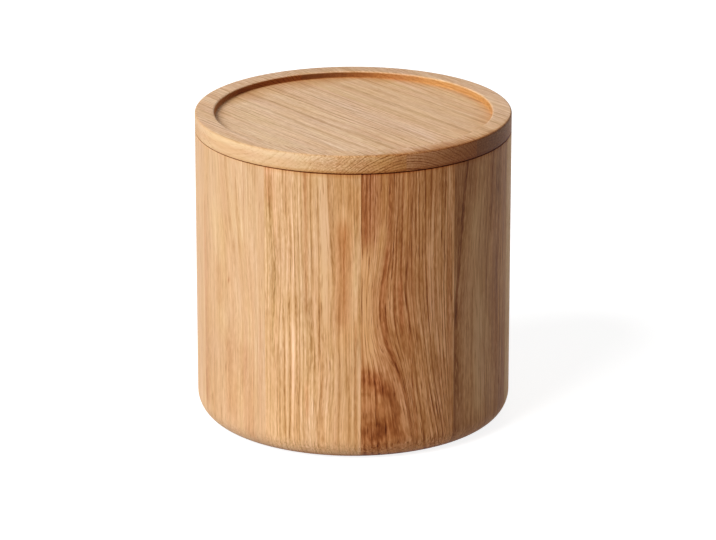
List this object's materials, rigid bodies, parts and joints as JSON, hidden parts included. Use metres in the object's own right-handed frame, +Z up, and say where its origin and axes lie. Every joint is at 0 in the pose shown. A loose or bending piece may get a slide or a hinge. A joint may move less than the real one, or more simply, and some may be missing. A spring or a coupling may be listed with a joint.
{
  "type": "lidded wooden canister",
  "caption": "Round oak storage canister turned from glued staves, with a rounded foot and a flush lid that lifts off, kept in place by a spigot with a seal ring.",
  "frame": {"origin": "centre of the underside, on the surface that the canister stands on", "axes": "+Z up along the canister's axis, -Y towards the front of the picture, +X to the right"},
  "size_m": [0.14, 0.14, 0.14],
  "materials": {
    "oak_pale": "oiled, satin, pale honey tone",
    "oak_honey": "oiled, satin, honey tone",
    "oak_russet": "oiled, satin, russet tone",
    "oak_brown": "oiled, satin, grey-brown tone",
    "oak_lid": "oiled, satin, pale tone",
    "oak_base": "oiled, matt",
    "silicone": "soft, translucent white, matt"
  },
  "bodies": {
    "canister": {"stave_01": "oak_russet", "stave_02": "oak_brown", "stave_03": "oak_honey", "stave_04": "oak_pale", "stave_05": "oak_honey", "stave_06": "oak_russet", "stave_07": "oak_pale", "stave_08": "oak_pale", "stave_09": "oak_pale", "stave_10": "oak_honey", "base_board_left": "oak_base", "base_board_middle": "oak_base", "base_board_right": "oak_base"},
    "seal": {"seal_ring": "silicone"},
    "lid": {"lid_board_left": "oak_lid", "lid_board_middle": "oak_lid", "lid_board_right": "oak_lid"}
  },
  "joints": [
    {"name": "lid_lift", "type": "slide", "parent": "canister", "child": "seal", "axis": [0, 0, 1], "range_m": [0, 0.08]},
    {"name": "lid_turn", "type": "hinge", "parent": "seal", "child": "lid", "pos_m": [0, 0, 0.13205], "axis": [0, 0, 1], "continuous": true}
  ]
}
